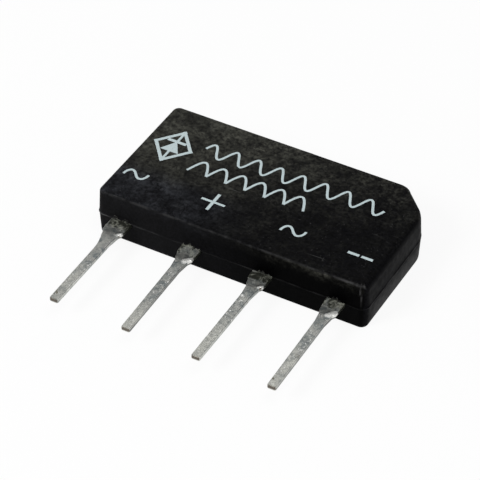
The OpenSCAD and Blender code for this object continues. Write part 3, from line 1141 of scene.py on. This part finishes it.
def set_world(looks):
    """Studio dome: white walls at the horizon under a grey ceiling."""
    world = bpy.data.worlds.new("studio")
    world.use_nodes = True
    nodes, links = world.node_tree.nodes, world.node_tree.links
    where = nodes.new("ShaderNodeTexCoord").outputs["Generated"]
    axes = nodes.new("ShaderNodeSeparateXYZ")
    links.new(where, axes.inputs[0])
    height = nodes.new("ShaderNodeMapRange")
    height.interpolation_type = "SMOOTHSTEP"
    wall_top, ceiling_start = 0.08, 0.5  # heights on the dome, where 1 is straight up
    settings = {"From Min": wall_top, "From Max": ceiling_start, "To Min": 1.0, "To Max": looks.ceiling}
    for name, value in settings.items():
        height.inputs[name].default_value = value
    links.new(axes.outputs[2], height.inputs["Value"])
    links.new(height.outputs[0], nodes["Background"].inputs["Color"])
    bpy.context.scene.world = world


def set_camera(looks):
    """Camera with a long lens, turned round the point that it aims at."""
    a, e = looks.azimuth, looks.elevation
    back = Vector((math.sin(a) * math.cos(e), -math.cos(a) * math.cos(e), math.sin(e)))
    data = bpy.data.cameras.new("camera")
    data.lens = looks.lens
    data.clip_start = 0.01
    camera = bpy.data.objects.new("camera", data)
    camera.location = Vector(looks.aim) + looks.distance * back
    camera.rotation_euler = (-back).to_track_quat("-Z", "Y").to_euler()
    bpy.context.scene.collection.objects.link(camera)
    bpy.context.scene.camera = camera


# Operators, one for each piece or group of like pieces


class RECTIFIER_OT_mould_case(Operator):
    """Build the fine skin of the moulded case and put it in the place of the plain solid"""

    bl_idname = "rectifier.mould_case"
    bl_label = "Mould the case"

    def execute(self, context):
        looks = context.scene.rectifier_case
        finish = epoxy_finish(looks)
        dress("case", finish)
        case = piece_from(case_skin(looks), "moulded_case", finish)
        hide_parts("case")
        return {"FINISHED"}


class RECTIFIER_OT_dress_leads(Operator):
    """Finish the four leads, dip them in tin and let a little resin creep over their roots"""

    bl_idname = "rectifier.dress_leads"
    bl_label = "Dress the leads"

    def execute(self, context):
        looks = context.scene.rectifier_leads
        bare, coated, crept = tin_finish(looks, False), tin_finish(looks, True), lip_finish(looks)
        for name in LEADS:
            dress(name, bare)
            piece_from(tin_coat(name, looks), name.replace("lead", "tin_coat"), coated)
            piece_from(resin_lip(name, looks), name.replace("lead", "resin_lip"), crept)
        return {"FINISHED"}


class RECTIFIER_OT_finish_inner_pieces(Operator):
    """Finish the dice and the solder joints inside the case"""

    bl_idname = "rectifier.finish_inner_pieces"
    bl_label = "Finish the inner pieces"

    def execute(self, context):
        for names, finish in ((DICE, silicon_finish()), (JOINTS, solder_finish())):
            for name in names:
                dress(name, finish)
        return {"FINISHED"}


class RECTIFIER_OT_print_face(Operator):
    """Print the polarity signs, the circuit sign and the two waves on the marked face"""

    bl_idname = "rectifier.print_face"
    bl_label = "Print the marked face"

    def execute(self, context):
        looks = context.scene.rectifier_ink
        finish = ink_finish(looks)
        prints = {
            "ink_sign_ac_left": (draw_ac_sign, looks.left_ac_x),
            "ink_sign_plus": (draw_plus_sign, looks.plus_x),
            "ink_sign_ac_right": (draw_ac_sign, looks.right_ac_x),
            "ink_sign_minus": (draw_minus_sign, looks.minus_x),
            "ink_circuit_sign": (draw_circuit_sign,),
            "ink_sine_row": (draw_sine_row,),
            "ink_hump_row": (draw_hump_row,),
        }
        for name, (draw, *place) in prints.items():
            ink = bmesh.new()
            draw(ink, looks, *place)
            piece_from(ink, name, finish, smooth=False)
        return {"FINISHED"}


class RECTIFIER_OT_set_stage(Operator):
    """Set up the floor, the lamps, the world and the camera"""

    bl_idname = "rectifier.set_stage"
    bl_label = "Set the stage"

    def execute(self, context):
        looks = context.scene.rectifier_stage
        lay_floor(looks)
        set_world(looks)
        soft_lamp("lamp_key", place=(-0.11, -0.197, 0.198), size=(0.10, 0.10), radiance=looks.key_lamp)
        soft_lamp("lamp_top", place=(0.10, -0.06, 0.34), size=(0.20, 0.20), radiance=looks.top_lamp)
        soft_lamp("lamp_back", place=(-0.06, 0.16, 0.15), size=(0.10, 0.06), radiance=looks.back_lamp)
        set_camera(looks)
        context.scene.view_settings.view_transform = "Standard"
        return {"FINISHED"}


class RECTIFIER_PT_looks(Panel):
    """Lists the settings and the steps in the 3D view's sidebar"""

    bl_label = "Bridge rectifier"
    bl_idname = "RECTIFIER_PT_looks"
    bl_space_type = "VIEW_3D"
    bl_region_type = "UI"
    bl_category = "Rectifier"

    def draw(self, context):
        for group, step in STEPS:
            box = self.layout.box()
            if group:
                settings = getattr(context.scene, group)
                for name in settings.bl_rna.properties.keys():
                    if name not in {"rna_type", "name"}:
                        box.prop(settings, name)
            box.operator(step.bl_idname)


GROUPS = {
    "rectifier_case": CaseLooks,
    "rectifier_leads": LeadLooks,
    "rectifier_ink": InkLooks,
    "rectifier_stage": StageLooks,
}
STEPS = (
    ("rectifier_stage", RECTIFIER_OT_set_stage),
    ("rectifier_case", RECTIFIER_OT_mould_case),
    ("rectifier_leads", RECTIFIER_OT_dress_leads),
    (None, RECTIFIER_OT_finish_inner_pieces),
    ("rectifier_ink", RECTIFIER_OT_print_face),
)
CLASSES = (*GROUPS.values(), *(step for _, step in STEPS), RECTIFIER_PT_looks)


def register():
    """Registers the settings, the steps and the panel."""
    for cls in CLASSES:
        bpy.utils.register_class(cls)
    for name, group in GROUPS.items():
        setattr(bpy.types.Scene, name, PointerProperty(type=group))


def unregister():
    """Takes back what register added."""
    for name in GROUPS:
        delattr(bpy.types.Scene, name)
    for cls in reversed(CLASSES):
        bpy.utils.unregister_class(cls)


def main():
    """Sets the stage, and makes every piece."""
    register()
    bpy.ops.rectifier.set_stage()
    bpy.ops.rectifier.mould_case()
    bpy.ops.rectifier.dress_leads()
    bpy.ops.rectifier.finish_inner_pieces()
    bpy.ops.rectifier.print_face()


if __name__ == "__main__":
    main()
